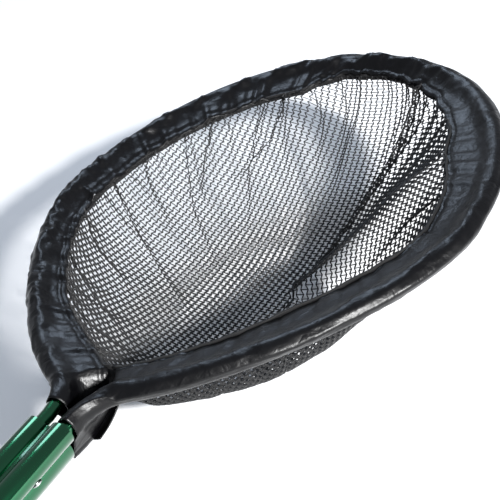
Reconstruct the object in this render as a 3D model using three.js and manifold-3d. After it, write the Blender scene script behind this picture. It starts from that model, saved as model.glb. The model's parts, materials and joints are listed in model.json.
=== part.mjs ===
// Leaf skimmer net: a bent aluminium hoop in a sewn sleeve, a hanging net bag, an extruded twin-barrel
// yoke and a two-section telescopic pole with a twist lock. Millimetres.
// +X runs from the pole to the tip of the hoop, +Z is up, and the mouth of the net faces up.
// Everything is drawn about the throat of the hoop, then set on its resting place at the end.
import * as THREE from "three";
import { mergeVertices } from "three/addons/utils/BufferGeometryUtils.js";
import Module from "manifold-3d";

const wasm = await Module();
wasm.setup();

// ---------------------------------------------------------------- driving dimensions
// Hoop: one length of round tube, bent in one plane
const hoopLength = 455; // mouth of the yoke to the tube's centre at the tip
const hoopWidth = 345; // between tube centres at the widest place
const hoopFront = 215; // widest place to the tip, half an ellipse
const tubeOd = 10;
const tubeWall = 1;
const prongSpacing = 20; // between the two prongs, centre to centre
const prongStraight = 8; // bare straight tube in front of the yoke
const prongDepth = 60; // tube inside the yoke
const throatRadius = 38; // bend from prong to flank
const throatAngle = THREE.MathUtils.degToRad(62);
const shoulderPull = 70; // how far the flank keeps the throat's direction
const flankPull = 64; // how far it keeps the direction of the widest place

// Sleeve: fabric folded over the hoop and sewn shut, which the netting pulls in almost flat
const sleeveStartLeft = 18; // mouth of the yoke to the sleeve's left end, along the tube
const sleeveStartRight = 4; // the same on the right, where the sleeve has slipped down
const sleeveBack = 8; // tube's centre to the fold outside it
const sleeveReach = 31; // tube's centre to the sewn edge
const sleeveHalf = 7.5; // half the thickness over the tube
const sleeveHem = 2.6; // half the thickness at the sewn edge
const sleeveLean = THREE.MathUtils.degToRad(80); // from hanging straight down in towards the middle

// Net bag and the tape that binds its edge to the sleeve
const bagDepth = 92; // hoop plane to the outside of the bag's floor
const bagWall = 2.2;
const bagInset = 28; // bag wall inside the tube's centre line
const bagThroat = 38; // mouth of the yoke to the tube beside the back of the bag
const bagSquareness = 2.2; // power of the bag's section: 2 is an ellipse, more is squarer
const bagFloorShare = 1.04; // the section is this much deeper than the floor that cuts it flat
const tapeHeight = 4;
const tapeWall = 3;

// Strip of sleeve fabric under the two sewn edges where they run side by side behind the bag
const patchStart = 20; // mouth of the yoke to its two ends, along the tube
const patchEnd = 39;
const patchHalf = 9;
const patchThickness = 3;
const patchGap = 1; // to the sewn edges

// Yoke: an aluminium extrusion with two barrels above and a pole socket below
const yokeLength = 96;
const barrelOd = 16.5;
const socketWall = 1.7;
const poleDrop = 14.5; // hoop plane to the pole's axis
const webTop = 2.5; // web between the barrels, above and below the hoop plane

// Pole: an inner tube fixed in the yoke, an outer tube that slides on it
const innerPoleOd = 19;
const innerPoleLength = 470;
const outerPoleOd = 25;
const outerPoleLength = 440;
const poleWall = 1.2;
const poleFront = -8; // front end of the inner tube
const outerFront = -128; // front end of the outer tube when pushed in
const plugLength = 14;
const plugFlange = 2;
const bushLength = 60; // guide bush over the rear end of the inner tube
const bushFloor = 2.4;

// Twist lock
const colletLength = 48;
const colletFinger = 22; // free length of the split fingers in front of the outer tube
const colletWall = 3;
const colletSlots = 4;
const slotWidth = 2.4;
const collarLength = 42;
const collarWall = 3.4;
const collarRibs = 12;
const ribHeight = 1.6;
const wiperLength = 3;

// Grip and end cap
const gripLength = 150;
const gripWall = 4.2;
const gripGrooves = 7;
const grooveDepth = 1.1;
const capSkirt = 18;
const capWall = 2.4;
const tabLength = 30;
const tabThickness = 7;
const hangHole = 13;

// Rivets and screw
const rivetRadius = 2;
const rivetHead = 3.6;
const rivetHeadHeight = 1.4;
const rivetGrip = 4.5; // shank length, past both walls

// Clearances
const gap = 0.3; // between pieces that touch
const slideGap = 0.3; // between the guide bush and the outer tube
const turnGap = 0.4; // between the collar and the collet

// Fineness of the round surfaces
const hoopSteps = 76;
const hoopCrowding = 0.55; // stations stand this much closer together at the bends by the throat
const hoopSides = 10;
const roundSides = 32;
const smallSides = 16;
const gripSides = 24;
const bagSides = 48;
const bagRows = 9;

// ---------------------------------------------------------------- derived places
const tubeRadius = tubeOd / 2;
const widestX = hoopLength - hoopFront;
const sleeveLow = sleeveHalf + (sleeveReach * Math.cos(sleeveLean)) / 2; // below the hoop plane
const tapeTop = -sleeveLow - gap;
const bagTop = tapeTop - tapeHeight - gap;
const barrelBore = tubeRadius + gap;
const socketBore = innerPoleOd / 2 + gap;
const outerRear = outerFront - outerPoleLength;
const innerRear = poleFront - innerPoleLength;
const colletFront = outerFront + colletFinger;
const colletOuter = outerPoleOd / 2 + gap + colletWall;
const collarFront = colletFront + wiperLength + 2 * gap;
const capFloor = outerRear - gap;
const gripRear = outerRear + capSkirt + gap;

// ---------------------------------------------------------------- materials
const finish = (color, roughness, metalness) =>
  new THREE.MeshStandardMaterial({ color, roughness, metalness });
const greenAluminium = finish(0x0b5a2c, 0.28, 0.9);
const plainAluminium = finish(0xb9bdbf, 0.4, 1);
const blackSatin = finish(0x111013, 0.55, 0);
const blackNet = finish(0x151517, 0.8, 0);
const blackPlastic = finish(0x1b1c1d, 0.5, 0);
const blackFoam = finish(0x202122, 0.9, 0);

// ---------------------------------------------------------------- solid helpers

// A closed geometry as a solid; a profile drawn the other way round is turned to face out.
function solid(geometry) {
  const bare = geometry.clone();
  bare.deleteAttribute("normal");
  bare.deleteAttribute("uv");
  const merged = mergeVertices(bare);
  const corners = merged.index.array;
  const kept = [];
  for (let i = 0; i < corners.length; i += 3) {
    const [a, b, c] = [corners[i], corners[i + 1], corners[i + 2]];
    if (a !== b && b !== c && c !== a) kept.push(a, b, c);
  }
  const vertProperties = new Float32Array(merged.attributes.position.array);
  const build = (list) =>
    new wasm.Manifold(
      new wasm.Mesh({ numProp: 3, vertProperties, triVerts: new Uint32Array(list) }),
    );
  const made = build(kept);
  return made.volume() > 0 ? made : build(kept.reverse());
}

const join = (first, ...others) => others.reduce((whole, part) => whole.add(part), first);
const cut = (whole, ...tools) => tools.reduce((left, tool) => left.subtract(tool), whole);

// Adds a solid to a group as a named mesh.
function piece(group, name, body, material) {
  const mesh = body.getMesh();
  const geometry = new THREE.BufferGeometry()
    .setAttribute("position", new THREE.BufferAttribute(mesh.vertProperties, 3))
    .setIndex(new THREE.BufferAttribute(mesh.triVerts, 1));
  geometry.computeVertexNormals();
  const made = new THREE.Mesh(geometry, material);
  made.name = name;
  group.add(made);
}

const circle = (y, z, radius) => new THREE.Shape().absarc(y, z, radius, 0, 2 * Math.PI);
const arcSegments = (sides) => sides / 2; // a full circle is drawn with two sides for each segment

// A shape drawn in Y and Z, pushed along X.
const pushAlongX = new THREE.Matrix4().makeBasis(
  new THREE.Vector3(0, 1, 0),
  new THREE.Vector3(0, 0, 1),
  new THREE.Vector3(1, 0, 0),
);
function bar(shape, from, to, sides = roundSides) {
  const options = { depth: to - from, bevelEnabled: false, curveSegments: arcSegments(sides) };
  const geometry = new THREE.ExtrudeGeometry(shape, options);
  return solid(geometry.applyMatrix4(pushAlongX).translate(from, 0, 0));
}

// A profile of [x, radius] points, turned about the X axis. It closes on the axis or on itself.
const turnToX = new THREE.Matrix4().makeBasis(
  new THREE.Vector3(0, 1, 0),
  new THREE.Vector3(1, 0, 0),
  new THREE.Vector3(0, 0, -1),
);
function turned(profile, sides = roundSides) {
  const points = profile.map(([x, radius]) => new THREE.Vector2(radius, x));
  return solid(new THREE.LatheGeometry(points, sides).applyMatrix4(turnToX));
}

// A tube or sleeve with a bore that stays outside the given radius, whatever its number of sides.
const clearRadius = (radius, sides) => radius / Math.cos(Math.PI / sides);
function tube(from, to, outer, inner, sides = roundSides) {
  const profile = [
    [from, inner],
    [from, outer],
    [to, outer],
    [to, inner],
    [from, inner],
  ];
  return turned(profile, sides);
}

// ---------------------------------------------------------------- hoop outline

// The flat path of the tube's centre, from the left prong round the tip to the right prong.
function hoopPath() {
  const half = prongSpacing / 2;
  const flankX = prongStraight + throatRadius * Math.sin(throatAngle);
  const flankY = half + throatRadius * (1 - Math.cos(throatAngle));
  const pullX = flankX + shoulderPull * Math.cos(throatAngle);
  const pullY = flankY + shoulderPull * Math.sin(throatAngle);
  const sideY = hoopWidth / 2;
  const quarter = Math.PI / 2;
  const path = new THREE.Path();
  path.moveTo(-prongDepth, half);
  path.lineTo(prongStraight, half);
  path.absarc(prongStraight, half + throatRadius, throatRadius, -quarter, throatAngle - quarter);
  path.bezierCurveTo(pullX, pullY, widestX - flankPull, sideY, widestX, sideY);
  path.absellipse(widestX, 0, hoopFront, sideY, quarter, -quarter, true);
  path.bezierCurveTo(widestX - flankPull, -sideY, pullX, -pullY, flankX, -flankY);
  path.absarc(prongStraight, -half - throatRadius, throatRadius, quarter - throatAngle, quarter);
  path.lineTo(-prongDepth, -half);
  return path;
}

// How far along the hoop a station is, as a share of its length, from its share of all the stations.
const alongHoop = (t) => t - (hoopCrowding * Math.sin(2 * Math.PI * t)) / (2 * Math.PI);

const upright = () => 0;

// The sleeve leans in fully, but in the throat its sewn edge only goes as far as the other side's.
function sleeveLeanAt(point, tangent) {
  const room = (Math.abs(point.y) - sleeveHem - gap) / Math.abs(tangent.x);
  const inward = point.x > widestX ? sleeveReach : Math.min(sleeveReach, room);
  return Math.min(sleeveLean, Math.asin(inward / sleeveReach));
}

// A stretch of a flat path as a curve in space, between two shares of its stations. Sections on it
// have X pointing down and Y pointing out of the hoop, and a lean turns X in towards the middle.
class FlatCurve extends THREE.Curve {
  constructor(path, from, to, leanOf) {
    super();
    this.path = path;
    this.from = from;
    this.to = to;
    this.leanOf = leanOf;
  }
  getPoint(t, target = new THREE.Vector3()) {
    const { x, y } = this.path.getPointAt(alongHoop(this.from + (this.to - this.from) * t));
    return target.set(x, y, 0);
  }
  getUtoTmapping(u) {
    return u;
  }
  computeFrenetFrames(segments) {
    const frames = { tangents: [], normals: [], binormals: [] };
    for (let i = 0; i <= segments; i += 1) {
      const tangent = this.getTangent(i / segments);
      const lean = this.leanOf(this.getPoint(i / segments), tangent);
      const normal = new THREE.Vector3(0, 0, -1).applyAxisAngle(tangent, -lean);
      frames.tangents.push(tangent);
      frames.normals.push(normal);
      frames.binormals.push(new THREE.Vector3().crossVectors(tangent, normal));
    }
    return frames;
  }
}

const hoop = hoopPath();

// Sweeps a section round the hoop, leaving out at least a bare length of tube at each end.
function sweep(section, bareLeft, bareRight, leanOf = upright) {
  const stationPast = (bare) => {
    let station = 0;
    while (alongHoop(station / hoopSteps) * hoop.getLength() < bare) station += 1;
    return station;
  };
  const first = stationPast(bareLeft);
  const last = hoopSteps - stationPast(bareRight);
  const options = {
    steps: last - first,
    curveSegments: arcSegments(hoopSides),
    extrudePath: new FlatCurve(hoop, first / hoopSteps, last / hoopSteps, leanOf),
  };
  return solid(new THREE.ExtrudeGeometry(section, options));
}

// ---------------------------------------------------------------- rim of the bag

// The hoop's distance from the middle of the net at each angle, closed behind the throat.
const rim = hoop
  .getSpacedPoints(480)
  .filter((p) => p.x >= bagThroat)
  .map((p) => ({ angle: Math.atan2(p.y, p.x - widestX), radius: Math.hypot(p.x - widestX, p.y) }))
  .sort((a, b) => a.angle - b.angle);

function rimRadius(angle) {
  const next = rim.findIndex((p) => p.angle > angle);
  const after = next < 0 ? rim[0] : rim[next];
  const before = next <= 0 ? rim[rim.length - 1] : rim[next - 1];
  const turn = 2 * Math.PI;
  const span = (after.angle - before.angle + turn) % turn;
  const share = ((angle - before.angle + turn) % turn) / span;
  return before.radius + (after.radius - before.radius) * share;
}

// A profile of [share of the rim's radius, z] points, turned about Z and stretched to the rim.
function aroundRim(profile, inset) {
  const points = profile.map(([share, z]) => new THREE.Vector2(share, z));
  const geometry = new THREE.LatheGeometry(points, bagSides).rotateX(Math.PI / 2);
  const place = geometry.attributes.position;
  for (let i = 0; i < place.count; i += 1) {
    const share = Math.hypot(place.getX(i), place.getY(i));
    const angle = Math.atan2(place.getY(i), place.getX(i));
    const radius = share * (rimRadius(angle) - inset);
    place.setX(i, widestX + radius * Math.cos(angle));
    place.setY(i, radius * Math.sin(angle));
  }
  return solid(geometry);
}

const drum = (top, bottom) => [
  [0, bottom],
  [1, bottom],
  [1, top],
  [0, top],
];

// Half section of the bag from the middle of its floor up to its rim, raised by one wall inside.
function bagSection(raised, top) {
  const depth = (bagDepth + bagTop) * bagFloorShare;
  const points = [[0, raised - bagDepth]];
  for (let row = bagRows; row >= 0; row -= 1) {
    const turn = ((row / bagRows) * Math.PI) / 2;
    const share = Math.cos(turn) ** (2 / bagSquareness);
    const z = bagTop - depth * Math.sin(turn) ** (2 / bagSquareness);
    if (share > 1e-6) points.push([share, raised + Math.max(z, -bagDepth)]);
  }
  return [...points, [1, top], [0, top]];
}

// ---------------------------------------------------------------- net and hoop

function sleeveSection() {
  const reach = sleeveReach;
  const section = new THREE.Shape();
  section.moveTo(-sleeveBack, 0);
  section.bezierCurveTo(-sleeveBack, sleeveHalf * 0.6, -3, sleeveHalf, 3, sleeveHalf);
  section.bezierCurveTo(12, sleeveHalf, reach - 8, sleeveHem, reach, sleeveHem);
  section.lineTo(reach, -sleeveHem);
  section.bezierCurveTo(reach - 8, -sleeveHem, 12, -sleeveHalf, 3, -sleeveHalf);
  section.bezierCurveTo(-3, -sleeveHalf, -sleeveBack, -sleeveHalf * 0.6, -sleeveBack, 0);
  return section;
}

// The lowest point of the sewn edge, at a length of tube in front of the yoke.
function sewnEdge(run) {
  const share = (prongDepth + run) / hoop.getLength();
  const point = hoop.getPointAt(share);
  const tangent = hoop.getTangentAt(share);
  const lean = sleeveLeanAt(point, tangent);
  const x = point.x + sleeveReach * Math.sin(lean) * tangent.y;
  return { x, z: -sleeveReach * Math.cos(lean) - sleeveHem };
}

function patchBody() {
  const rows = 5;
  const under = Array.from({ length: rows + 1 }, (_, i) =>
    sewnEdge(patchStart + ((patchEnd - patchStart) * i) / rows),
  );
  const outline = new THREE.Shape();
  outline.moveTo(under[0].x, under[0].z - patchGap);
  under.slice(1).forEach(({ x, z }) => outline.lineTo(x, z - patchGap));
  under.reverse().forEach(({ x, z }) => outline.lineTo(x, z - patchGap - patchThickness));
  const strip = new THREE.ExtrudeGeometry(outline, { depth: 2 * patchHalf, bevelEnabled: false });
  return solid(strip.rotateX(Math.PI / 2).translate(0, patchHalf, 0));
}

function buildNet(group) {
  const tubeSection = circle(0, 0, tubeRadius);
  tubeSection.holes.push(circle(0, 0, tubeRadius - tubeWall));
  piece(group, "hoop_tube", cut(sweep(tubeSection, 0, 0), ...prongRivetHoles()), greenAluminium);

  const bareLeft = prongDepth + sleeveStartLeft;
  const bareRight = prongDepth + sleeveStartRight;
  const folded = sweep(sleeveSection(), bareLeft, bareRight, sleeveLeanAt);
  const bore = sweep(circle(0, 0, clearRadius(tubeRadius + gap, hoopSides)), 0, 0);
  piece(group, "rim_sleeve", cut(folded, bore), blackSatin);
  piece(group, "throat_patch", patchBody(), blackSatin);

  const tapeOuter = aroundRim(drum(tapeTop, tapeTop - tapeHeight), bagInset);
  const tapeInner = aroundRim(drum(tapeTop + gap, tapeTop - tapeHeight - gap), bagInset + tapeWall);
  piece(group, "hem_tape", cut(tapeOuter, tapeInner), blackSatin);

  const bagOuter = aroundRim(bagSection(0, bagTop), bagInset);
  const bagInner = aroundRim(bagSection(bagWall, bagTop + bagWall), bagInset + bagWall);
  piece(group, "net_bag", cut(bagOuter, bagInner), blackNet);

  for (const [side, y] of sides()) {
    const profile = plugProfile(-prongDepth - gap, tubeRadius, tubeRadius - tubeWall, -1, 6, 1.2);
    const plug = turned(profile, smallSides);
    piece(group, `prong_plug_${side}`, plug.translate([0, y, 0]), blackPlastic);
  }
}

const sides = () => [
  ["left", prongSpacing / 2],
  ["right", -prongSpacing / 2],
];

// A plug whose flange stands on a tube's end at x and whose stem goes into the bore. The flange
// points along facing, and the stem the other way.
function plugProfile(x, flangeRadius, bore, facing, stem, flange) {
  const stemRadius = bore - gap;
  return [
    [x + facing * flange, 0],
    [x + facing * flange, flangeRadius - 0.4],
    [x + facing * (flange - 0.4), flangeRadius],
    [x, flangeRadius],
    [x, stemRadius],
    [x - facing * (stem - 0.8), stemRadius],
    [x - facing * stem, stemRadius - 0.8],
    [x - facing * stem, 0],
  ];
}

// ---------------------------------------------------------------- yoke and rivets

// A domed rivet through a wall whose outer face is at the given distance below the axis.
function rivet(face) {
  const profile = [
    [-rivetHeadHeight, 0],
    [-rivetHeadHeight, rivetHead * 0.45],
    [-rivetHeadHeight * 0.6, rivetHead * 0.85],
    [-gap - 0.2, rivetHead],
    [0, rivetHead],
    [0, rivetRadius],
    [rivetGrip, rivetRadius],
    [rivetGrip, 0],
  ];
  const made = turned(profile, 12);
  return made.rotate([0, -90, 0]).translate([0, 0, -face - gap]);
}

const drill = (depth) =>
  turned(
    [
      [-depth, 0],
      [-depth, rivetRadius + gap],
      [0, rivetRadius + gap],
      [0, 0],
    ],
    12,
  ).rotate([0, -90, 0]);

// Where each rivet sits: x, the axis that it points at, its lean from straight down, the outer wall.
const barrelRivetX = -34;
const socketRivetX = [-30, -78];
const barrelRivetLean = 30;

function yokeBody() {
  const half = prongSpacing / 2;
  const socketRadius = socketBore + socketWall;
  const web = new THREE.Shape()
    .moveTo(-half, webTop)
    .lineTo(half, webTop)
    .lineTo(half, -webTop)
    .lineTo(socketRadius * 0.8, -poleDrop)
    .lineTo(-socketRadius * 0.8, -poleDrop)
    .lineTo(-half, -webTop);
  const barrels = [-half, half].map((y) => bar(circle(y, 0, barrelOd / 2), -yokeLength, 0));
  const socket = bar(circle(0, -poleDrop, socketRadius), -yokeLength, 0, 40);
  const bores = [-half, half].map((y) =>
    bar(circle(y, 0, clearRadius(barrelBore, roundSides)), -yokeLength - 1, 1),
  );
  const socketHole = circle(0, -poleDrop, clearRadius(socketBore, 40));
  bores.push(bar(socketHole, -yokeLength - 1, 1, 40));
  const block = join(...barrels, socket, bar(web, -yokeLength, 0));
  return cut(block, ...bores, ...prongRivetHoles(), ...poleRivetHoles());
}

const onPole = (body) => body.translate([0, 0, -poleDrop]);

const prongRivetHoles = () =>
  sides().map(([, y]) =>
    drill(barrelOd).rotate([Math.sign(y) * barrelRivetLean, 0, 0]).translate([barrelRivetX, y, 0]),
  );

const poleRivetHoles = () => socketRivetX.map((x) => onPole(drill(barrelOd).translate([x, 0, 0])));

function buildYoke(group) {
  piece(group, "yoke", yokeBody(), greenAluminium);
  for (const [side, y] of sides()) {
    const profile = plugProfile(-yokeLength - gap, barrelOd / 2, barrelBore, -1, 10, 1.6);
    const plug = turned(profile, smallSides);
    piece(group, `barrel_plug_${side}`, plug.translate([0, y, 0]), blackPlastic);
    const pin = rivet(barrelOd / 2).rotate([Math.sign(y) * barrelRivetLean, 0, 0]);
    piece(group, `prong_rivet_${side}`, pin.translate([barrelRivetX, y, 0]), plainAluminium);
  }
  ["front", "rear"].forEach((end, i) => {
    const pin = rivet(socketBore + socketWall).translate([socketRivetX[i], 0, -poleDrop]);
    piece(group, `pole_rivet_${end}`, pin, plainAluminium);
  });
}

// ---------------------------------------------------------------- pole

function buildInnerPole(group) {
  const outer = innerPoleOd / 2;
  const bore = outer - poleWall;
  const pole = onPole(tube(innerRear, poleFront, outer, bore));
  piece(group, "inner_pole", cut(pole, ...poleRivetHoles()), greenAluminium);

  const front = turned(plugProfile(poleFront + gap, outer, bore, 1, plugLength, plugFlange));
  piece(group, "pole_front_plug", onPole(front), blackPlastic);

  // The guide bush is a cup over the inner tube's rear end. It keeps that tube in the middle of the
  // outer one, and it meets the collet when the pole is pulled right out.
  const guide = outerPoleOd / 2 - poleWall - slideGap;
  const clear = clearRadius(outer + gap, roundSides);
  const floor = innerRear - gap;
  const bush = [
    [floor - bushFloor, 0],
    [floor - bushFloor, guide - 0.8],
    [floor - bushFloor + 0.8, guide],
    [innerRear + bushLength, guide],
    [innerRear + bushLength, clear],
    [floor, clear],
    [floor, 0],
  ];
  piece(group, "guide_bush", onPole(turned(bush)), blackPlastic);
}

// A split collet: a ring on the outer tube and tapered fingers that close on the inner tube.
function colletBody() {
  const ring = outerPoleOd / 2 + gap;
  const throat = innerPoleOd / 2 + gap;
  const rear = colletFront - colletLength;
  const profile = [
    [rear, ring],
    [rear, colletOuter],
    [outerFront + gap, colletOuter],
    [colletFront - 6, colletOuter],
    [colletFront, colletOuter - 2.2],
    [colletFront, throat],
    [outerFront + gap, throat],
    [outerFront + gap, ring],
    [rear, ring],
  ];
  const slot = new THREE.BoxGeometry(colletFinger - 4, slotWidth, 4 * colletOuter);
  const reach = colletFront - (colletFinger - 4) / 2 + 0.5;
  const slots = [];
  for (let i = 0; i < colletSlots / 2; i += 1) {
    const blade = solid(slot).translate([reach, 0, 0]);
    slots.push(blade.rotate([(i * 360) / colletSlots + 45, 0, 0]));
  }
  return cut(turned(profile), ...slots);
}

// The collar screws on the collet and squeezes its fingers. Ribs run along it for a wet hand.
function collarBody() {
  const bore = clearRadius(colletOuter + turnGap, roundSides);
  const nose = innerPoleOd / 2 + 2 * turnGap;
  const outer = bore + collarWall;
  const rear = collarFront - collarLength;
  const profile = [
    [rear, bore],
    [rear, outer - 1],
    [rear + 1, outer],
    [collarFront - 7, outer],
    [collarFront, outer - 4],
    [collarFront, nose],
    [collarFront - wiperLength, nose],
    [collarFront - wiperLength, bore - 1.5],
    [collarFront - wiperLength - 4, bore],
    [rear, bore],
  ];
  let body = turned(profile);
  for (let i = 0; i < collarRibs; i += 1) {
    const angle = (i * 360) / collarRibs;
    const length = collarLength - 14;
    const rib = bar(circle(0, outer - 0.4, ribHeight), rear + 4, rear + 4 + length, 4);
    body = body.add(rib.rotate([angle, 0, 0]));
  }
  return body;
}

function buildLock(outerGroup, collarGroup) {
  piece(outerGroup, "collet", onPole(colletBody()), blackPlastic);
  piece(collarGroup, "lock_collar", onPole(collarBody()), blackPlastic);
  const inner = clearRadius(innerPoleOd / 2 + gap, roundSides);
  const outer = innerPoleOd / 2 + 3;
  const wiper = tube(collarFront + gap, collarFront + gap + wiperLength, outer, inner);
  piece(collarGroup, "wiper_ring", onPole(wiper), blackFoam);
}

// ---------------------------------------------------------------- grip and end cap

function gripBody() {
  const inner = clearRadius(outerPoleOd / 2 + gap, gripSides);
  const outer = inner + gripWall;
  const front = gripRear + gripLength;
  const pitch = (gripLength - 24) / gripGrooves;
  const profile = [
    [gripRear, inner],
    [gripRear, outer - 1],
    [gripRear + 1, outer],
  ];
  for (let i = 0; i < gripGrooves; i += 1) {
    const x = gripRear + 12 + i * pitch;
    profile.push([x, outer], [x + 1.5, outer - grooveDepth], [x + 4, outer - grooveDepth]);
    profile.push([x + 5.5, outer]);
  }
  profile.push([front - 8, outer], [front, inner + 1.2], [front, inner], [gripRear, inner]);
  return turned(profile, gripSides);
}

// A cup over the tube's end with a flat tab behind it, drilled to hang on a hook.
function capBody() {
  const inner = clearRadius(outerPoleOd / 2 + gap, roundSides);
  const outer = inner + capWall;
  const rear = capFloor - capWall;
  const cup = turned([
    [rear, 0],
    [rear, outer - 2],
    [rear + 2, outer],
    [capFloor + capSkirt, outer],
    [capFloor + capSkirt, inner],
    [capFloor, inner],
    [capFloor, 0],
  ]);
  const tabHalf = outer - 2;
  const tabEnd = rear - tabLength;
  const outline = new THREE.Shape();
  outline.moveTo(rear + 1, -tabHalf);
  outline.lineTo(rear + 1, tabHalf);
  outline.lineTo(tabEnd + tabHalf, tabHalf);
  outline.absarc(tabEnd + tabHalf, 0, tabHalf, Math.PI / 2, (3 * Math.PI) / 2);
  outline.holes.push(circle(tabEnd + tabHalf, 0, hangHole / 2));
  const options = { depth: tabThickness, bevelEnabled: false, curveSegments: 12 };
  const tab = solid(new THREE.ExtrudeGeometry(outline, options).rotateX(Math.PI / 2));
  return cut(join(cup, tab.translate([0, tabThickness / 2, 0])), capScrewHole());
}

const capScrewX = () => outerRear + capSkirt / 2;
const capScrewHole = () => drill(barrelOd).translate([capScrewX(), 0, 0]);

function buildHandle(group) {
  const pole = tube(outerRear, outerFront, outerPoleOd / 2, outerPoleOd / 2 - poleWall);
  piece(group, "outer_pole", onPole(cut(pole, capScrewHole())), greenAluminium);
  piece(group, "grip", onPole(gripBody()), blackFoam);
  piece(group, "end_cap", onPole(capBody()), blackPlastic);
  const face = clearRadius(outerPoleOd / 2 + gap, roundSides) + capWall;
  const screw = rivet(face).translate([capScrewX(), 0, 0]);
  piece(group, "cap_screw", onPole(screw), plainAluminium);
}

// ---------------------------------------------------------------- assembly

const head = new THREE.Group();
buildNet(head);
buildYoke(head);
buildInnerPole(head);

const handle = new THREE.Group();
const collar = new THREE.Group();
buildHandle(handle);
buildLock(handle, collar);

// The origin is under the middle of the whole net, on the surface that the bag rests on.
const net = new THREE.Group().add(head, handle, collar);
const middle = new THREE.Box3().setFromObject(net).getCenter(new THREE.Vector3());
net.position.set(-middle.x, 0, bagDepth);

const skimmer = new THREE.Group().add(net);
export default skimmer;
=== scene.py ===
# %% [markdown]
# # A leaf skimmer net
# A skimmer net lifts leaves off a pool. A bent tube makes the hoop, a sewn sleeve hides it, a bag of
# knotless netting hangs under it, and a clamp of extruded aluminium joins it to a telescopic pole.
# This lesson builds the looks of the net round a measured model, which is loaded first and stays the
# authority for every size and every moving part.

# %% Load the measured model
import json
import math
import random

import bmesh
import bpy
import numpy as np
from mathutils import Matrix, Vector, noise


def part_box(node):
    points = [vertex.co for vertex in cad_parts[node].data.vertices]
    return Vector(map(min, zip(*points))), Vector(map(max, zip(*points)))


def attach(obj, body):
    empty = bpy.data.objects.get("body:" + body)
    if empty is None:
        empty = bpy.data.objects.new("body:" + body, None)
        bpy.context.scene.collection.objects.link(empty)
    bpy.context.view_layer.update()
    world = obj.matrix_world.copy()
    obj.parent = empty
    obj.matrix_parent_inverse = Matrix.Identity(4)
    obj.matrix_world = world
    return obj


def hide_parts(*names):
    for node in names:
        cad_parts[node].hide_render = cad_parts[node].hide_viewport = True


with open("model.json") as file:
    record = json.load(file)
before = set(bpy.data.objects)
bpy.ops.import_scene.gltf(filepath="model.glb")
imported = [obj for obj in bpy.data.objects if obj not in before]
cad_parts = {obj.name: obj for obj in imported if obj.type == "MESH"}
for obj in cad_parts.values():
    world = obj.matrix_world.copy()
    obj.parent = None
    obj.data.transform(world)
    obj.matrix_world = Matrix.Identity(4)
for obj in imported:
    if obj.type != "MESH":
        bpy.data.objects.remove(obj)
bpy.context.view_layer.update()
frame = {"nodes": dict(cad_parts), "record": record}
MM = 0.001
BODIES = frame["record"]["behaviour"]["bodies"]
BODY_OF = {node: body for body, nodes in BODIES.items() for node in nodes}
SLOT_OF = {part["node"]: part["material_slot"] for part in frame["record"]["subparts"]}

# %% [markdown]
# ## Camera
# The camera looks down at the net from beside the pole, a little turned about its own axis. It could be
# aimed with a constraint, but a matrix of its right, up and back directions keeps the turn exact.

# %% Place the camera
LENS_MM = 79.2
CAMERA_DISTANCE = 765.3 * MM
CAMERA_AZIMUTH = math.radians(-48.16)
CAMERA_ELEVATION = math.radians(33.24)
CAMERA_ROLL = math.radians(-17.94)
mouth_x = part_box("yoke")[1].x
tube_low, tube_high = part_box("hoop_tube")
tube_radius = (tube_high.z - tube_low.z) / 2
hoop_z = (tube_high.z + tube_low.z) / 2
aim = Vector((mouth_x + 188.0 * MM, -30.1 * MM, hoop_z))


def camera_matrix(target, distance, azimuth, elevation, roll):
    level = math.cos(elevation)
    back = Vector((math.sin(azimuth) * level, -math.cos(azimuth) * level, math.sin(elevation)))
    level_right = Vector((math.cos(azimuth), math.sin(azimuth), 0))
    level_up = back.cross(level_right)
    right = math.cos(roll) * level_right + math.sin(roll) * level_up
    up = -math.sin(roll) * level_right + math.cos(roll) * level_up
    turn = Matrix((right, up, back)).transposed()
    return Matrix.Translation(target + distance * back) @ turn.to_4x4()


camera = bpy.data.objects.new("camera", bpy.data.cameras.new("camera"))
bpy.context.scene.collection.objects.link(camera)
camera.data.lens = LENS_MM
camera.data.sensor_width = 36
camera.data.clip_end = 20
camera.matrix_world = camera_matrix(aim, CAMERA_DISTANCE, CAMERA_AZIMUTH, CAMERA_ELEVATION, CAMERA_ROLL)
bpy.context.scene.camera = camera
print("camera at", [round(x, 3) for x in camera.matrix_world.translation])

# %% [markdown]
# ## Nodes and colours
# Every finish here is a small tree of shader nodes. One helper adds any node, sets it and wires it, and
# one function turns the hex colours that painters use into the linear values that light needs.

# %% Helpers for materials
def linear(hex_colour):
    channels = [int(hex_colour[i : i + 2], 16) / 255 for i in (1, 3, 5)]
    return tuple(c / 12.92 if c <= 0.04045 else ((c + 0.055) / 1.055) ** 2.4 for c in channels) + (1.0,)


def add(tree, kind, sockets=None, **settings):
    made = tree.nodes.new(kind)
    for name, value in settings.items():
        setattr(made, name, value)
    for name, value in (sockets or {}).items():
        if isinstance(value, bpy.types.NodeSocket):
            tree.links.new(value, made.inputs[name])
        else:
            made.inputs[name].default_value = value
    return made


def new_material(name, **shader_values):
    made = bpy.data.materials.new(name)
    made.use_nodes = True
    tree = made.node_tree
    shader = tree.nodes["Principled BSDF"]
    for socket, value in shader_values.items():
        shader.inputs[socket.replace("_", " ")].default_value = value
    return made, tree, shader


# %% [markdown]
# ## Floor and light
# The net lies on a plain white floor. One light stands low beside the camera, like an afternoon sun, so
# that the near rim throws its shadow across the netting, and a pale blue sky fills the shadows. The
# plain view transform keeps the whites white and the blacks deep.

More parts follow.
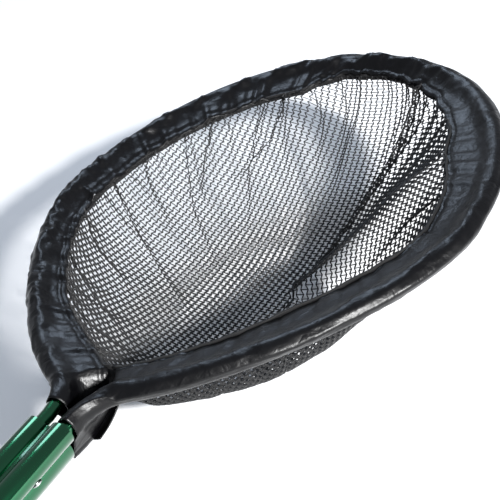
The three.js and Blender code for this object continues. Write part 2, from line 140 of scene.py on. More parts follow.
# %% Floor, lights and sky
floor_material, floor_tree, floor_shader = new_material("studio_floor", Roughness=0.9)
floor_shader.inputs["Base Color"].default_value = linear("#FAFAFA")
floor_shape = bmesh.new()
bmesh.ops.create_grid(floor_shape, x_segments=2, y_segments=2, size=6.0)
floor_mesh = bpy.data.meshes.new("studio_floor")
floor_shape.to_mesh(floor_mesh)
floor_shape.free()
floor_mesh.materials.append(floor_material)
floor = bpy.data.objects.new("studio_floor", floor_mesh)
floor.location.z = -0.6 * MM
bpy.context.scene.collection.objects.link(floor)

sky = bpy.data.worlds.new("studio_sky")
bpy.context.scene.world = sky
sky.use_nodes = True
sky.node_tree.nodes["Background"].inputs["Color"].default_value = linear("#EEF4FF")
sky.node_tree.nodes["Background"].inputs["Strength"].default_value = 0.36
bpy.context.scene.view_settings.view_transform = "Standard"


def area_light(name, place, target, size, watts, hex_colour="#FFFFFF"):
    lamp = bpy.data.lights.new(name, "AREA")
    lamp.shape = "DISK"
    lamp.size = size
    lamp.energy = watts
    lamp.color = linear(hex_colour)[:3]
    made = bpy.data.objects.new(name, lamp)
    made.location = place
    made.rotation_euler = (Vector(target) - Vector(place)).to_track_quat("-Z", "Y").to_euler()
    bpy.context.scene.collection.objects.link(made)
    return made


area_light("key_light", (-0.4, -2.2, 1.25), aim, 0.22, 165)
area_light("sky_panel", (1.45, 0.85, 1.35), aim, 0.75, 11, "#D6E8FF")

# %% [markdown]
# ## Gloss green anodised aluminium
# The hoop, the yoke and the outer pole are drawn or extruded aluminium, bright dipped and dyed green in
# the anodising bath, then sealed. The dye lies under a clear oxide skin, so the metal is deep green
# while its highlights stay almost white. A coat over a metallic base gives both. The die leaves faint
# lines along the length, which are noise stretched along X.

# %% Anodised and plain aluminium
def metal(name, dark, light, roughness, coat, line_depth):
    made, tree, shader = new_material(name, Metallic=1.0, Coat_Weight=coat, Coat_Roughness=0.06)
    place = add(tree, "ShaderNodeTexCoord").outputs["Object"]
    along = add(tree, "ShaderNodeMapping", {"Vector": place, "Scale": (6, 900, 900)}).outputs["Vector"]
    lines = add(tree, "ShaderNodeTexNoise", {"Vector": along, "Scale": 1.0, "Detail": 3.0})
    cloud = add(tree, "ShaderNodeTexNoise", {"Vector": place, "Scale": 30.0, "Detail": 2.0})
    colours = {"Factor": cloud.outputs["Fac"], "A": linear(dark), "B": linear(light)}
    mixed = add(tree, "ShaderNodeMix", colours, data_type="RGBA")
    tree.links.new(mixed.outputs["Result"], shader.inputs["Base Color"])
    spread = {"Value": lines.outputs["Fac"], "To Min": roughness * 0.8, "To Max": roughness * 1.25}
    rough = add(tree, "ShaderNodeMapRange", spread)
    tree.links.new(rough.outputs["Result"], shader.inputs["Roughness"])
    die_lines = {"Height": lines.outputs["Fac"], "Strength": 0.25, "Distance": line_depth}
    bump = add(tree, "ShaderNodeBump", die_lines)
    tree.links.new(bump.outputs["Normal"], shader.inputs["Normal"])
    return made


green_anodised = metal("green_anodised_aluminium", "#034F2A", "#0B6B42", 0.2, 1.0, 0.008 * MM)
satin_aluminium = metal("satin_anodised_aluminium", "#C3C6C8", "#D2D4D5", 0.38, 0.0, 0.03 * MM)
plain_aluminium = metal("headed_aluminium", "#B9BBBC", "#CBCCCC", 0.42, 0.0, 0.02 * MM)

# %% [markdown]
# ## Black mouldings, foam and rubber
# Plugs, lock and end cap are moulded in black ABS with a fine spark-eroded texture. The grip is
# closed-cell foam with burst bubbles half a millimetre wide. The wiper ring is plain rubber.

# %% Moulded plastic, foam and rubber
def grained(name, dark, light, roughness, grain_mm, depth_mm, **shader_values):
    made, tree, shader = new_material(name, **shader_values)
    place = add(tree, "ShaderNodeTexCoord").outputs["Object"]
    grain = add(tree, "ShaderNodeTexNoise", {"Vector": place, "Scale": 1000 / grain_mm, "Detail": 3.0})
    wear = add(tree, "ShaderNodeTexNoise", {"Vector": place, "Scale": 60.0, "Detail": 4.0})
    colours = {"Factor": wear.outputs["Fac"], "A": linear(dark), "B": linear(light)}
    mixed = add(tree, "ShaderNodeMix", colours, data_type="RGBA")
    tree.links.new(mixed.outputs["Result"], shader.inputs["Base Color"])
    spread = {"Value": wear.outputs["Fac"], "To Min": roughness - 0.06, "To Max": roughness + 0.06}
    rough = add(tree, "ShaderNodeMapRange", spread)
    tree.links.new(rough.outputs["Result"], shader.inputs["Roughness"])
    texture = {"Height": grain.outputs["Fac"], "Strength": 0.5, "Distance": depth_mm * MM}
    bump = add(tree, "ShaderNodeBump", texture)
    tree.links.new(bump.outputs["Normal"], shader.inputs["Normal"])
    return made


moulded_abs = grained("moulded_black_abs", "#161718", "#202122", 0.42, 0.4, 0.05, IOR=1.54)
wiper_rubber = grained("moulded_rubber", "#121212", "#1B1B1B", 0.65, 0.8, 0.05, IOR=1.52)
grip_foam = grained("closed_cell_foam", "#191A1A", "#252626", 0.85, 0.7, 0.25, IOR=1.5)

MATERIAL_OF_SLOT = {
    "green_anodised": green_anodised,
    "satin_aluminium": satin_aluminium,
    "plain_aluminium": plain_aluminium,
    "black_moulding": moulded_abs,
    "black_rubber": wiper_rubber,
    "black_foam": grip_foam,
}

# %% [markdown]
# ## Hard parts
# The measured parts have the right shape but flat facets and knife edges. Each one is copied, its loose
# triangles are merged, its true edges get a small bevel, and its round faces are shaded smooth. The
# copy then stands for the part, which stays in the physics.

# %% Smooth, bevelled copies of the hard parts
def object_of(name, shape, material):
    mesh = bpy.data.meshes.new(name)
    shape.to_mesh(mesh)
    shape.free()
    mesh.materials.append(material)
    made = bpy.data.objects.new(name, mesh)
    bpy.context.scene.collection.objects.link(made)
    return made


def finished_copy(node, bevel_mm, sharp_degrees=38):
    shape = bmesh.new()
    shape.from_mesh(frame["nodes"][node].data)
    bmesh.ops.remove_doubles(shape, verts=shape.verts, dist=0.002 * MM)
    flat = math.radians(0.5)
    bmesh.ops.dissolve_limit(shape, angle_limit=flat, verts=shape.verts, edges=shape.edges)
    limit = math.radians(sharp_degrees)
    sharp = [e for e in shape.edges if e.is_manifold and e.calc_face_angle() > limit]
    if bevel_mm:
        bmesh.ops.bevel(shape, geom=sharp, affect="EDGES", offset=bevel_mm * MM, segments=2, profile=0.5,
                        material=-1, clamp_overlap=True)
    for face in shape.faces:
        face.smooth = True
    for edge in shape.edges:
        edge.smooth = not (edge.is_manifold and edge.calc_face_angle() > limit)
    made = object_of(node + "_finished", shape, MATERIAL_OF_SLOT[SLOT_OF[node]])
    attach(made, BODY_OF[node])
    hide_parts(node)
    return made


HARD_PARTS = {
    "yoke": 0.35, "hoop_tube": 0, "inner_pole": 0.2, "outer_pole": 0.2, "pole_front_plug": 0.3,
    "guide_bush": 0.3, "collet": 0.25, "lock_collar": 0.4, "wiper_ring": 0.3, "grip": 0.4, "end_cap": 0.6,
    "prong_plug_left": 0.2, "prong_plug_right": 0.2, "barrel_plug_left": 0.3, "barrel_plug_right": 0.3,
    "prong_rivet_left": 0, "prong_rivet_right": 0, "pole_rivet_front": 0, "pole_rivet_rear": 0,
    "cap_screw": 0,
}
for node, bevel_mm in HARD_PARTS.items():
    finished_copy(node, bevel_mm)
print("finished copies:", len(HARD_PARTS))

# %% [markdown]
# ## The line of the hoop
# Everything soft follows the tube: two straight prongs, a bend outwards from each, an easy flank to the
# widest place, and half an ellipse round the tip. The same few sizes that shaped the tube draw the line
# again here, from the mouth of the yoke, and the loaded parts give its place and its outer sizes.

# %% Draw the hoop's centre line
HOOP_FRONT = 215 * MM
PRONG_HALF = 10 * MM
PRONG_STRAIGHT = 8 * MM
THROAT_RADIUS = 38 * MM
THROAT_ANGLE = math.radians(62)
SHOULDER_PULL = 70 * MM
FLANK_PULL = 64 * MM
hoop_half = tube_high.y - tube_radius
tip_x = tube_high.x - tube_radius
widest_x = tip_x - HOOP_FRONT


def hoop_half_line(points=400):
    t = np.linspace(0, 1, points)[:, None]
    start = np.array([mouth_x, PRONG_HALF])
    straight = start + t * [PRONG_STRAIGHT, 0]
    turn = t * THROAT_ANGLE
    arc = start + [PRONG_STRAIGHT, 0] + THROAT_RADIUS * np.hstack([np.sin(turn), 1 - np.cos(turn)])
    direction = np.array([math.cos(THROAT_ANGLE), math.sin(THROAT_ANGLE)])
    corners = [arc[-1], arc[-1] + SHOULDER_PULL * direction,
               np.array([widest_x - FLANK_PULL, hoop_half]), np.array([widest_x, hoop_half])]
    weights = [(1 - t) ** 3, 3 * t * (1 - t) ** 2, 3 * t**2 * (1 - t), t**3]
    flank = sum(w * c for w, c in zip(weights, corners))
    quarter = math.pi / 2 * (1 - t)
    front = np.hstack([widest_x + HOOP_FRONT * np.cos(quarter), hoop_half * np.sin(quarter)])
    return np.vstack([straight, arc[1:], flank[1:], front[1:]])


half_line = hoop_half_line()
mirrored = half_line[::-1][1:] * [1, -1]
hoop_line = np.vstack([half_line, mirrored])
steps = np.linalg.norm(np.diff(hoop_line, axis=0), axis=1)
hoop_run = np.concatenate([[0], np.cumsum(steps)])
HOOP_LENGTH = float(hoop_run[-1])


def on_hoop(run):
    return np.stack([np.interp(run, hoop_run, hoop_line[:, i]) for i in (0, 1)], axis=-1)


def out_of_hoop(run):
    ahead = on_hoop(np.asarray(run) + 1 * MM) - on_hoop(np.asarray(run) - 1 * MM)
    ahead /= np.linalg.norm(ahead, axis=-1, keepdims=True)
    return np.stack([-ahead[..., 1], ahead[..., 0]], axis=-1)


print("tube in front of the yoke:", round(HOOP_LENGTH, 3), "m")

# %% [markdown]
# ## Sleeve fabric
# The sleeve is black satin-woven nylon, cut on the roll and folded over the tube. Long floats of
# filament yarn lie side by side on its face, so it has a soft bright sheen along one direction. The
# yarns are a fifth of a millimetre apart, too fine to show, so the weave is drawn at 0.8 mm. Thin nylon
# also crumples, so a coarse noise bends the light in creases about a centimetre wide.

# %% Satin nylon
WEAVE = 0.8 * MM
BAND = 0.314  # a wave texture's bands are this share of its scale apart


def woven(name, dark, light, roughness, pitch, depth, crease_mm, **shader_values):
    made, tree, shader = new_material(name, **shader_values)
    uv = add(tree, "ShaderNodeTexCoord").outputs["UV"]
    place = add(tree, "ShaderNodeTexCoord").outputs["Object"]
    warp = add(tree, "ShaderNodeTexWave", {"Vector": uv, "Scale": BAND / pitch}, bands_direction="X")
    weft = add(tree, "ShaderNodeTexWave", {"Vector": uv, "Scale": BAND / pitch}, bands_direction="Y")
    threads = {0: warp.outputs["Fac"], 1: weft.outputs["Fac"]}
    weave = add(tree, "ShaderNodeMath", threads, operation="MULTIPLY")
    crumple = {"Vector": place, "Scale": 1000 / crease_mm, "Detail": 5.0, "Distortion": 0.6}
    crease = add(tree, "ShaderNodeTexNoise", crumple)
    # The crease noise that lifts the bump also sets the colour. The weave's threads are a real pattern, but
    # the darker crease hollows and lighter crests are painted shade and painted sheen.
    weave_and_painted_shade = {0: weave.outputs[0], 1: crease.outputs["Fac"]}
    weave_pattern_and_painted_shade = add(tree, "ShaderNodeMath", weave_and_painted_shade, operation="MULTIPLY")
    colours = {"Factor": weave_pattern_and_painted_shade.outputs[0], "A": linear(dark), "B": linear(light)}
    mixed = add(tree, "ShaderNodeMix", colours, data_type="RGBA")
    tree.links.new(mixed.outputs["Result"], shader.inputs["Base Color"])
    spread = {"Value": crease.outputs["Fac"], "To Min": roughness - 0.08, "To Max": roughness + 0.1}
    rough = add(tree, "ShaderNodeMapRange", spread)
    tree.links.new(rough.outputs["Result"], shader.inputs["Roughness"])
    creases = {"Height": crease.outputs["Fac"], "Strength": 0.75, "Distance": 1.4 * MM}
    folds = add(tree, "ShaderNodeBump", creases)
    cloth = {"Height": weave.outputs[0], "Strength": 0.3, "Distance": depth,
             "Normal": folds.outputs["Normal"]}
    bump = add(tree, "ShaderNodeBump", cloth)
    tree.links.new(bump.outputs["Normal"], shader.inputs["Normal"])
    return made


satin_nylon = woven("satin_woven_nylon", "#020203", "#070609", 0.34, WEAVE, 0.06 * MM, 11, IOR=1.53,
                    Specular_IOR_Level=0.27)
webbing = woven("woven_webbing", "#070708", "#131315", 0.7, 1.4 * MM, 0.25 * MM, 20, IOR=1.53,
                Specular_IOR_Level=0.3, Sheen_Weight=0.05, Sheen_Roughness=0.5)

# %% [markdown]
# ## Sleeve
# The fabric is folded round the tube, and its two edges are sewn together about 30 mm inside it. The
# weight of the netting pulls that flat flap in towards the middle, so it lies almost level, but between
# the prongs there is no room for it and it hangs. The sleeve is cut longer than the hoop, so it bunches
# into gathers across the tube. It could be simulated, but a pinned tube of cloth this thin needs many
# steps, so a fine grid is wrapped into the form, one side along the hoop and the other round the section,
# and sharp-crested noise moves it into gathers.

# %% The lean of the sleeve and its sewn edge
SLEEVE_LEAN = math.radians(80)
SLEEVE_BACK = 7.5 * MM
SLEEVE_REACH = 31 * MM
SLEEVE_GAP = 2.6 * MM
down = np.array([0, 0, -1.0])


def ripple(run, turn, wave_mm, shift=0.0):
    """Smooth noise that changes fast along the hoop and slowly round the section."""
    spots = zip(run / (wave_mm * MM) + shift, np.cos(turn) * 0.8, np.sin(turn) * 0.8)
    return np.array([noise.noise(Vector(p)) for p in spots])


def sleeve_axes(run):
    """The tube's centre, the direction to the sewn edge and the direction across the flap."""
    run = np.asarray(run, float)
    flat_out = out_of_hoop(run)
    middle = on_hoop(run)
    room = (np.abs(middle[..., 1]) - SLEEVE_GAP) / np.maximum(np.abs(flat_out[..., 1]), 1e-6)
    room = np.where(middle[..., 0] > widest_x, SLEEVE_REACH, room)
    share = np.minimum(room / SLEEVE_REACH, math.sin(SLEEVE_LEAN))[..., None]
    level = np.sqrt(1 - share**2)
    out = np.concatenate([flat_out, np.zeros_like(flat_out[..., :1])], axis=-1)
    centre = np.concatenate([middle, np.full_like(flat_out[..., :1], hoop_z)], axis=-1)
    return centre, down * level - out * share, out * level + down * share


# How far in the sewn edge lies, in mm, at these shares of the way round the hoop.
REACH_SHARES = (0.0, 0.05, 0.12, 0.2, 0.3, 0.38, 0.44, 0.475, 0.52, 0.58, 0.66, 0.75, 0.86, 0.95, 1.0)
REACH_MM = (31, 31, 22, 21, 25, 29, 33, 16, 18, 25, 40, 34, 38, 34, 31)


def sleeve_reach(run):
    """Tube's centre to the sewn edge: the gathered netting pulls it in and out round the hoop."""
    share = np.asarray(run) / HOOP_LENGTH
    tip = np.exp(-(((share - 0.52) / 0.09) ** 2))
    puckers = 1.4 * ripple(run, 0 * run, 30, 3.0) + (1.4 + 3.2 * tip) * ripple(run, 0 * run, 15, 8.0)
    return MM * (np.interp(share, REACH_SHARES, REACH_MM) + puckers)


def gathers(run, turn, wave_mm, shift=0.0):
    """Sharp crests with round valleys between them, as in cloth that is pushed together."""
    return 1 - 2.6 * np.abs(ripple(run, turn, wave_mm, shift))


def fullness(run):
    """How much the sleeve is bunched up: most on the far side, least on the near side."""
    share = np.asarray(run) / HOOP_LENGTH
    return np.interp(share, (0, 0.06, 0.12, 0.5, 0.6, 0.9, 1), (0.3, 0.5, 1, 0.9, 0.35, 0.3, 0.3))


# %% Wrap the sleeve round the hoop
SLEEVE_START_LEFT = 18 * MM
SLEEVE_START_RIGHT = 4 * MM
SLEEVE_STEPS = 640
SLEEVE_ROUND = 52
SLEEVE_LENGTH = HOOP_LENGTH - SLEEVE_START_LEFT - SLEEVE_START_RIGHT
SLEEVE_GIRTH = 84 * MM
FLAP_HALF = 2.2 * MM
TUBE_BULGE = 6.4 * MM
SEAM_INSET = 5 * MM
TUBE_CLEARANCE = 1.4 * MM


def grid_shape(columns, rows):
    shape = bmesh.new()
    shape.loops.layers.uv.new("UVMap")
    bmesh.ops.create_grid(shape, x_segments=columns, y_segments=rows, size=0.5, calc_uvs=True)
    return shape


def lay_grid(shape, place, size_m):
    flat = np.array([v.co[:2] for v in shape.verts]) + 0.5
    for vertex, point in zip(shape.verts, place(flat[:, 0], flat[:, 1])):
        vertex.co = point
    uv = shape.loops.layers.uv.active
    for face in shape.faces:
        face.smooth = True
        for loop in face.loops:
            loop[uv].uv *= Vector(size_m)
    return shape


def sleeve_place(along, around):
    run = SLEEVE_START_LEFT + along * SLEEVE_LENGTH
    turn = around * 2 * math.pi
    centre, inward, across = sleeve_axes(run)
    reach = sleeve_reach(run)
    t = (reach - SLEEVE_BACK) / 2 + (reach + SLEEVE_BACK) / 2 * np.cos(turn)
    plump = np.exp(-(((t + 1 * MM) / (9 * MM)) ** 2))
    seam = 1 - 0.75 * np.exp(-(((reach - SEAM_INSET - t) / (1.2 * MM)) ** 2))
    wide = (FLAP_HALF * seam + TUBE_BULGE * plump) * np.sin(turn)
    flap = np.clip((t - 2 * MM) / (16 * MM), 0, 1)
    full = fullness(run)
    slant = run + 0.5 * t
    swell = 0.34 * gathers(slant, turn, 21) + 0.2 * gathers(slant, 2 * turn, 9, 4.0) - 0.1
    wide = wide * (1 + full * swell * (1 - 0.6 * flap) + 0.25 * ripple(run, turn, 40, 9.0))
    broad, fine = gathers(slant, 0 * turn, 17, 5.0), gathers(slant, 0 * turn, 7, 2.0)
    wide = wide + MM * flap * full * (2.6 * broad + 1.3 * fine - 2.4)
    wide = wide + 1.5 * MM * flap * ripple(run, 0 * turn, 34, 7.0)
    shuffle = 1.2 * ripple(run, turn, 24, 17.0) + 0.6 * full * gathers(slant, turn, 12, 11.0)
    t = t + MM * (1 - flap) * shuffle
    from_tube = np.maximum(np.hypot(t, wide), 0.1 * MM)
    clear = np.maximum(1, (tube_radius + TUBE_CLEARANCE) / from_tube)
    return centre + inward * (t * clear)[:, None] + across * (wide * clear)[:, None]


sleeve_shape = lay_grid(grid_shape(SLEEVE_STEPS, SLEEVE_ROUND), sleeve_place, (SLEEVE_LENGTH, SLEEVE_GIRTH))
bmesh.ops.remove_doubles(sleeve_shape, verts=sleeve_shape.verts, dist=0.01 * MM)
bmesh.ops.recalc_face_normals(sleeve_shape, faces=sleeve_shape.faces)
sleeve = object_of("sleeve_fabric", sleeve_shape, satin_nylon)
cloth_wall = sleeve.modifiers.new("cloth", "SOLIDIFY")
cloth_wall.thickness = 0.5 * MM
cloth_wall.offset = -1
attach(sleeve, "head")
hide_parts("rim_sleeve")
print("sleeve:", len(sleeve.data.polygons), "faces,", round(SLEEVE_LENGTH, 3), "m long")

# %% [markdown]
# ## Throat strip
# Between the prongs the two sewn edges hang side by side. A strip of the same nylon is sewn under them
# and keeps leaves from slipping out there. It is one short sheet, bent up at both sides.

# %% Lay the throat strip
strip_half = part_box("throat_patch")[1].y
STRIP_STEPS = 26
STRIP_ROWS = 16
STRIP_START = 20 * MM
STRIP_END = 43 * MM


def strip_place(along, across):
    run = STRIP_START + along * (STRIP_END - STRIP_START)
    centre, inward, _ = sleeve_axes(run)
    edge = centre + inward * (SLEEVE_REACH + 1.2 * MM)
    side = 2 * across - 1
    y = side * strip_half
    lift = 2.5 * MM * side**2 + 0.5 * MM * ripple(run, 3 * side, 9)
    return np.column_stack([edge[:, 0], y, edge[:, 2] - 1 * MM + lift])


STRIP_SIZE = (46 * MM, 20 * MM)
strip_shape = lay_grid(grid_shape(STRIP_STEPS, STRIP_ROWS), strip_place, STRIP_SIZE)
bmesh.ops.recalc_face_normals(strip_shape, faces=strip_shape.faces)
strip = object_of("throat_fabric", strip_shape, satin_nylon)
strip_wall = strip.modifiers.new("cloth", "SOLIDIFY")
strip_wall.thickness = 0.8 * MM
strip_wall.offset = 0
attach(strip, "head")
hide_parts("throat_patch")

# %% [markdown]
# ## The form of the bag
# The netting is one flat oval that is gathered on to the sewn edge. Every thread that runs from the
# middle to the rim keeps its length, so a flat drawing and the hanging bag are tied together by two
# numbers: the direction from the middle, and the share of the way out.

# %% Hang the meridians of the bag
BAG_THROAT = mouth_x + 38 * MM
BAG_DIRECTIONS = 240
BAG_SHARES = 80
bag_middle = np.array([widest_x, 0.0])
rim_runs = np.linspace(0, HOOP_LENGTH, 1600)
rim_runs = rim_runs[on_hoop(rim_runs)[:, 0] >= BAG_THROAT]
rim_centre, rim_inward, _ = sleeve_axes(rim_runs)
rim_line = rim_centre + rim_inward * (sleeve_reach(rim_runs) - 1.5 * MM)[:, None]
rim_angles = np.arctan2(rim_line[:, 1], rim_line[:, 0] - widest_x)
rim_order = np.argsort(rim_angles)
rim_angles = rim_angles[rim_order]
rim_radii = np.hypot(rim_line[:, 0] - widest_x, rim_line[:, 1])[rim_order]
bag_rim_z = float(rim_line[:, 2].max()) - 2 * MM
print("bag hangs from", round(bag_rim_z, 4), "m")


def rim_radius(angle):
    whole = 2 * math.pi
    angles = np.concatenate([rim_angles[-40:] - whole, rim_angles, rim_angles[:40] + whole])
    radii = np.concatenate([rim_radii[-40:], rim_radii, rim_radii[:40]])
    wrapped = (np.asarray(angle) + math.pi) % whole - math.pi
    return np.interp(wrapped, angles, radii)


THROAT_SIDE = -150
TIP_SIDE = -60
SIDE_WIDTH = 44


def bag_profile(shares, direction):
    """Share of the rim's radius and height, from the middle of the floor out to the rim.

    The bag is fullest on the near side of the throat and flattest on the near side of the tip."""
    turn = math.pi / 2 * (1 - shares)
    depth = (bag_rim_z - 1 * MM) * 1.02
    degrees = math.degrees(direction)
    throat_side = math.exp(-((((degrees - THROAT_SIDE + 180) % 360 - 180) / SIDE_WIDTH) ** 2))
    tip_side = math.exp(-(((degrees - TIP_SIDE) / SIDE_WIDTH) ** 2))
    power = 2 / (2.0 + 0.85 * throat_side - 1.05 * tip_side)
    out = np.cos(turn) ** power * (1 + 0.03 * throat_side * np.sin(math.pi * shares) ** 0.7)
    height = bag_rim_z - depth * np.sin(turn) ** power
    return out, np.maximum(height, 1.0 * MM)


directions = np.linspace(-math.pi, math.pi, BAG_DIRECTIONS + 1)
bag_grid = np.zeros((BAG_DIRECTIONS + 1, BAG_SHARES + 1, 3))
bag_reach = np.zeros(BAG_DIRECTIONS + 1)
for i, direction in enumerate(directions):
    out_share, height = bag_profile(np.linspace(0, 1, 400), direction)
    ray = out_share * rim_radius(direction)
    run = np.concatenate([[0], np.cumsum(np.hypot(np.diff(ray), np.diff(height)))])
    even = np.linspace(0, run[-1], BAG_SHARES + 1)
    bag_grid[i, :, 0] = bag_middle[0] + np.interp(even, run, ray) * math.cos(direction)
    bag_grid[i, :, 1] = bag_middle[1] + np.interp(even, run, ray) * math.sin(direction)
    bag_grid[i, :, 2] = np.interp(even, run, height)
    bag_reach[i] = run[-1]
print("netting is cut", round(bag_reach[BAG_DIRECTIONS // 2] + bag_reach[0], 3), "m long")

# %% [markdown]
# ## Netting
# Knotless netting is braided on a machine into six-sided meshes. The pattern is a brick lattice: a grid
# with every other upright dissolved, whose joints are pushed up and down into hexagons. It is drawn
# flat, hung on the meridians, and the wireframe operator turns each side of a mesh into a strand.

# %% The netting's sizes and its place on the bag
MESH_PITCH = 5.5 * MM
STRAND = 1.6 * MM
MESH_SIDE = MESH_PITCH / math.sqrt(3)


def bag_point(flat_x, flat_y):
    turn = np.arctan2(flat_y, flat_x)
    column = (turn + math.pi) / (2 * math.pi) * BAG_DIRECTIONS
    reach = np.interp(turn, directions, bag_reach)
    row = np.minimum(np.hypot(flat_x, flat_y) / reach, 1.0) * BAG_SHARES
    c = np.minimum(column.astype(int), BAG_DIRECTIONS - 1)
    r = np.minimum(row.astype(int), BAG_SHARES - 1)
    fc, fr = (column - c)[:, None], (row - r)[:, None]
    near = bag_grid[c, r] * (1 - fr) + bag_grid[c, r + 1] * fr
    far = bag_grid[c + 1, r] * (1 - fr) + bag_grid[c + 1, r + 1] * fr
    return near * (1 - fc) + far * fc


# %% [markdown]
# ## Pleats
# The oval has more netting than the rim has room for, so it is laid in pleats where it is sewn on. One
# wide pleat runs from the tip down to the middle of the floor, others fade out on the wall, and small
# gathers fill the rim. Each pleat pulls the flat drawing together across its own line, past the point
# where it folds over itself, and lifts a ridge.

# %% Fold the pleats
# Direction on the rim in degrees, end of the pleat (x, y) from the middle in mm, netting taken up in mm.
PLEATS = [
    (-14, -25, -8, 11), (-22, 110, -38, 4.5), (21, 100, 100, 4.0), (31, 60, 70, 3.0), (44, 70, 120, 4.0),
    (56, 10, 70, 3.2), (70, 20, 120, 3.0), (84, -40, 60, 3.6), (101, -60, 110, 3.0), (122, -110, 60, 3.4),
    (143, -110, 40, 3.6), (158, -90, 20, 3.2), (172, -120, 0, 3.4),
    (-160, -90, -10, 3.0), (-140, -80, -40, 3.0),
    (-36, 90, -50, 3.2), (-52, 60, -80, 3.0), (4, 120, 10, 3.6), (-75, 10, -80, 3.0), (-105, -50, -70, 3.0),
]
random.seed(12)
for turn_degrees in range(-178, 180, 8):
    start_degrees = turn_degrees + random.uniform(-3, 3)
    share = random.uniform(0.62, 0.84)
    reach_mm = float(np.interp(math.radians(start_degrees), directions, bag_reach)) / MM
    end = [share * reach_mm * f(math.radians(start_degrees + random.uniform(-4, 4)))
           for f in (math.cos, math.sin)]
    PLEATS.append((start_degrees, *end, random.uniform(1.6, 2.8)))
PLEAT_REACH = 34 * MM
PLEAT_WANDER = 3 * MM
RIDGE_HIGHEST = 6 * MM
SLACK = 1.6 * MM


def fold_pleats(flat):
    """Pull the flat drawing together across each pleat; the second result is the height of the ridge."""
    moved, lift = flat.copy(), np.zeros(len(flat))
    for degrees, end_x, end_y, take_up in PLEATS:
        turn = math.radians(degrees)
        start = np.interp(turn, directions, bag_reach) * np.array([math.cos(turn), math.sin(turn)])
        line = np.array([end_x, end_y]) * MM - start
        length = np.linalg.norm(line)
        along = (flat - start) @ line / length**2
        across = (flat - start) @ np.array([-line[1], line[0]]) / length
        across = across + PLEAT_WANDER * np.sin(5 * along + degrees)
        fade = np.sqrt(np.clip(1 - along, 0, 1)) * np.where(along < -0.3, 0, 1)
        sharp = 1.6 * MM + 0.13 * take_up * MM
        pull = take_up * MM * fade * np.tanh(across / sharp) * np.exp(-((across / PLEAT_REACH) ** 2))
        moved -= pull[:, None] * np.array([-line[1], line[0]]) / length
        lift += 0.55 * take_up * MM * fade * np.exp(-((across / (1.7 * sharp)) ** 2))
    return moved, np.minimum(lift, RIDGE_HIGHEST)


def hang(flat_x, flat_y):
    """The place in the hanging bag of points in the flat drawing, pleats and all."""
    moved, lift = fold_pleats(np.column_stack([flat_x, flat_y]))
    small = 1 * MM
    middle = bag_point(moved[:, 0], moved[:, 1])
    ahead = bag_point(moved[:, 0] + small, moved[:, 1]) - bag_point(moved[:, 0] - small, moved[:, 1])
    aside = bag_point(moved[:, 0], moved[:, 1] + small) - bag_point(moved[:, 0], moved[:, 1] - small)
    up = np.cross(ahead, aside)
    up /= np.maximum(np.linalg.norm(up, axis=1, keepdims=True), 1e-12)
    slack = SLACK * (1 + ripple(moved[:, 0], moved[:, 1] * 25, 40, 2.0))
    to_rim = np.interp(np.arctan2(flat_y, flat_x), directions, bag_reach)
    rim_share = np.clip(np.hypot(flat_x, flat_y) / to_rim, 0, 1)
    return middle + up * (lift + slack * (1 - rim_share**6))[:, None]


# %% Draw the lattice and hang it
flat_half_x = bag_reach.max() + MESH_PITCH
flat_half_y = bag_reach[BAG_DIRECTIONS // 4 :].max() + MESH_PITCH
columns = 2 * int(2 * flat_half_x / MESH_PITCH)
rows = int(2 * flat_half_y / (1.5 * MESH_SIDE))
net_shape = bmesh.new()
bmesh.ops.create_grid(net_shape, x_segments=columns, y_segments=rows, size=0.5)


def lattice_place(vertex):
    return round((vertex.co.x + 0.5) * columns), round((vertex.co.y + 0.5) * rows)


spare = []
for edge in net_shape.edges:
    (ca, ra), (cb, rb) = lattice_place(edge.verts[0]), lattice_place(edge.verts[1])
    if ca == cb and (ca + min(ra, rb)) % 2:
        spare.append(edge)
bmesh.ops.dissolve_edges(net_shape, edges=spare, use_verts=False)
places = np.array([lattice_place(v) for v in net_shape.verts])
flat_x = (places[:, 0] - columns / 2) * MESH_PITCH / 2
zigzag = np.where(places.sum(axis=1) % 2, 1, -1) * MESH_SIDE / 4
flat_y = (places[:, 1] - rows / 2) * 1.5 * MESH_SIDE + zigzag
reach = np.interp(np.arctan2(flat_y, flat_x), directions, bag_reach)
outside = {v for v, far in zip(net_shape.verts, np.hypot(flat_x, flat_y) > reach) if far}
for vertex, point in zip(net_shape.verts, hang(flat_x, flat_y)):
    vertex.co = point
beyond = [f for f in net_shape.faces if sum(v in outside for v in f.verts) > 3]
bmesh.ops.delete(net_shape, geom=beyond, context="FACES")
mesh_count = len(net_shape.faces)
bmesh.ops.recalc_face_normals(net_shape, faces=net_shape.faces)
bmesh.ops.wireframe(net_shape, faces=net_shape.faces, thickness=STRAND, offset=0, use_replace=True,
                    use_boundary=True, use_even_offset=False, use_crease=False, crease_weight=0,
                    use_relative_offset=False)
for face in net_shape.faces:
    face.smooth = True

# %% [markdown]
# The yarn is black polyester filament, spun dyed and braided, so it has a dull, slightly dusty black and
# a fine crossing relief. It is too thin to unwrap, so its noise reads the object's own coordinates.

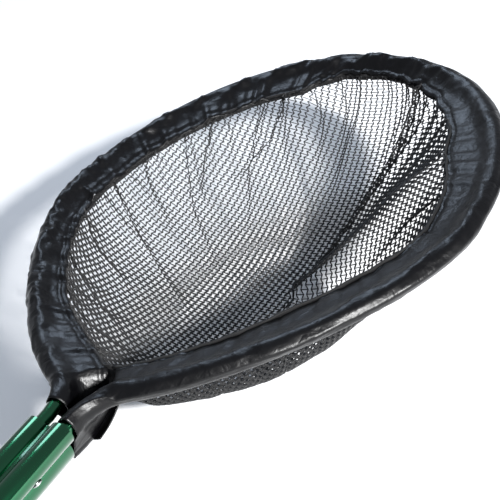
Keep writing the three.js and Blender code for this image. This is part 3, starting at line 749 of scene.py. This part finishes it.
# %% Braided polyester yarn
netting_yarn, net_tree, net_shader = new_material(
    "braided_polyester_netting", IOR=1.53, Roughness=0.6, Specular_IOR_Level=0.3,
    Sheen_Weight=0.1, Sheen_Roughness=0.5)
net_place = add(net_tree, "ShaderNodeTexCoord").outputs["Object"]
dust = add(net_tree, "ShaderNodeTexNoise", {"Vector": net_place, "Scale": 35.0, "Detail": 3.0})
braid = add(net_tree, "ShaderNodeTexNoise", {"Vector": net_place, "Scale": 1000 / 0.9, "Detail": 2.0})
blacks = {"Factor": dust.outputs["Fac"], "A": linear("#070708"), "B": linear("#151517")}
net_tone = add(net_tree, "ShaderNodeMix", blacks, data_type="RGBA")
net_tree.links.new(net_tone.outputs["Result"], net_shader.inputs["Base Color"])
relief = {"Height": braid.outputs["Fac"], "Strength": 0.5, "Distance": 0.2 * MM}
net_bump = add(net_tree, "ShaderNodeBump", relief)
net_tree.links.new(net_bump.outputs["Normal"], net_shader.inputs["Normal"])

netting = object_of("bag_netting", net_shape, netting_yarn)
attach(netting, "head")
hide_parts("net_bag")
print("netting:", mesh_count, "meshes,", len(netting.data.polygons), "faces")

# %% [markdown]
# ## Hem tape
# A woven tape is folded over the gathered edge of the netting and sewn to the bottom of the sleeve. It
# is a ring of grid that follows the rim, given the thickness of two layers of tape.

# %% Bind the edge of the bag
TAPE_STEPS = 300
TAPE_WALL = 1.6 * MM
TAPE_HEIGHT = 5 * MM


def tape_place(along, across):
    turn = (along - 0.5) * 2 * math.pi
    radius = rim_radius(turn) + 0.6 * MM + 0.6 * MM * ripple(along * 1.3, 6 * across, 12)
    x = bag_middle[0] + radius * np.cos(turn)
    y = bag_middle[1] + radius * np.sin(turn)
    return np.column_stack([x, y, bag_rim_z - TAPE_HEIGHT * (1 - across) + 1.0 * MM])


TAPE_SIZE = (float(HOOP_LENGTH), TAPE_HEIGHT)
tape_shape = lay_grid(grid_shape(TAPE_STEPS, 6), tape_place, TAPE_SIZE)
bmesh.ops.remove_doubles(tape_shape, verts=tape_shape.verts, dist=0.01 * MM)
bmesh.ops.recalc_face_normals(tape_shape, faces=tape_shape.faces)
hem = object_of("hem_binding", tape_shape, webbing)
hem_wall = hem.modifiers.new("two_layers", "SOLIDIFY")
hem_wall.thickness = TAPE_WALL
hem_wall.offset = 0
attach(hem, "head")
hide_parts("hem_tape")
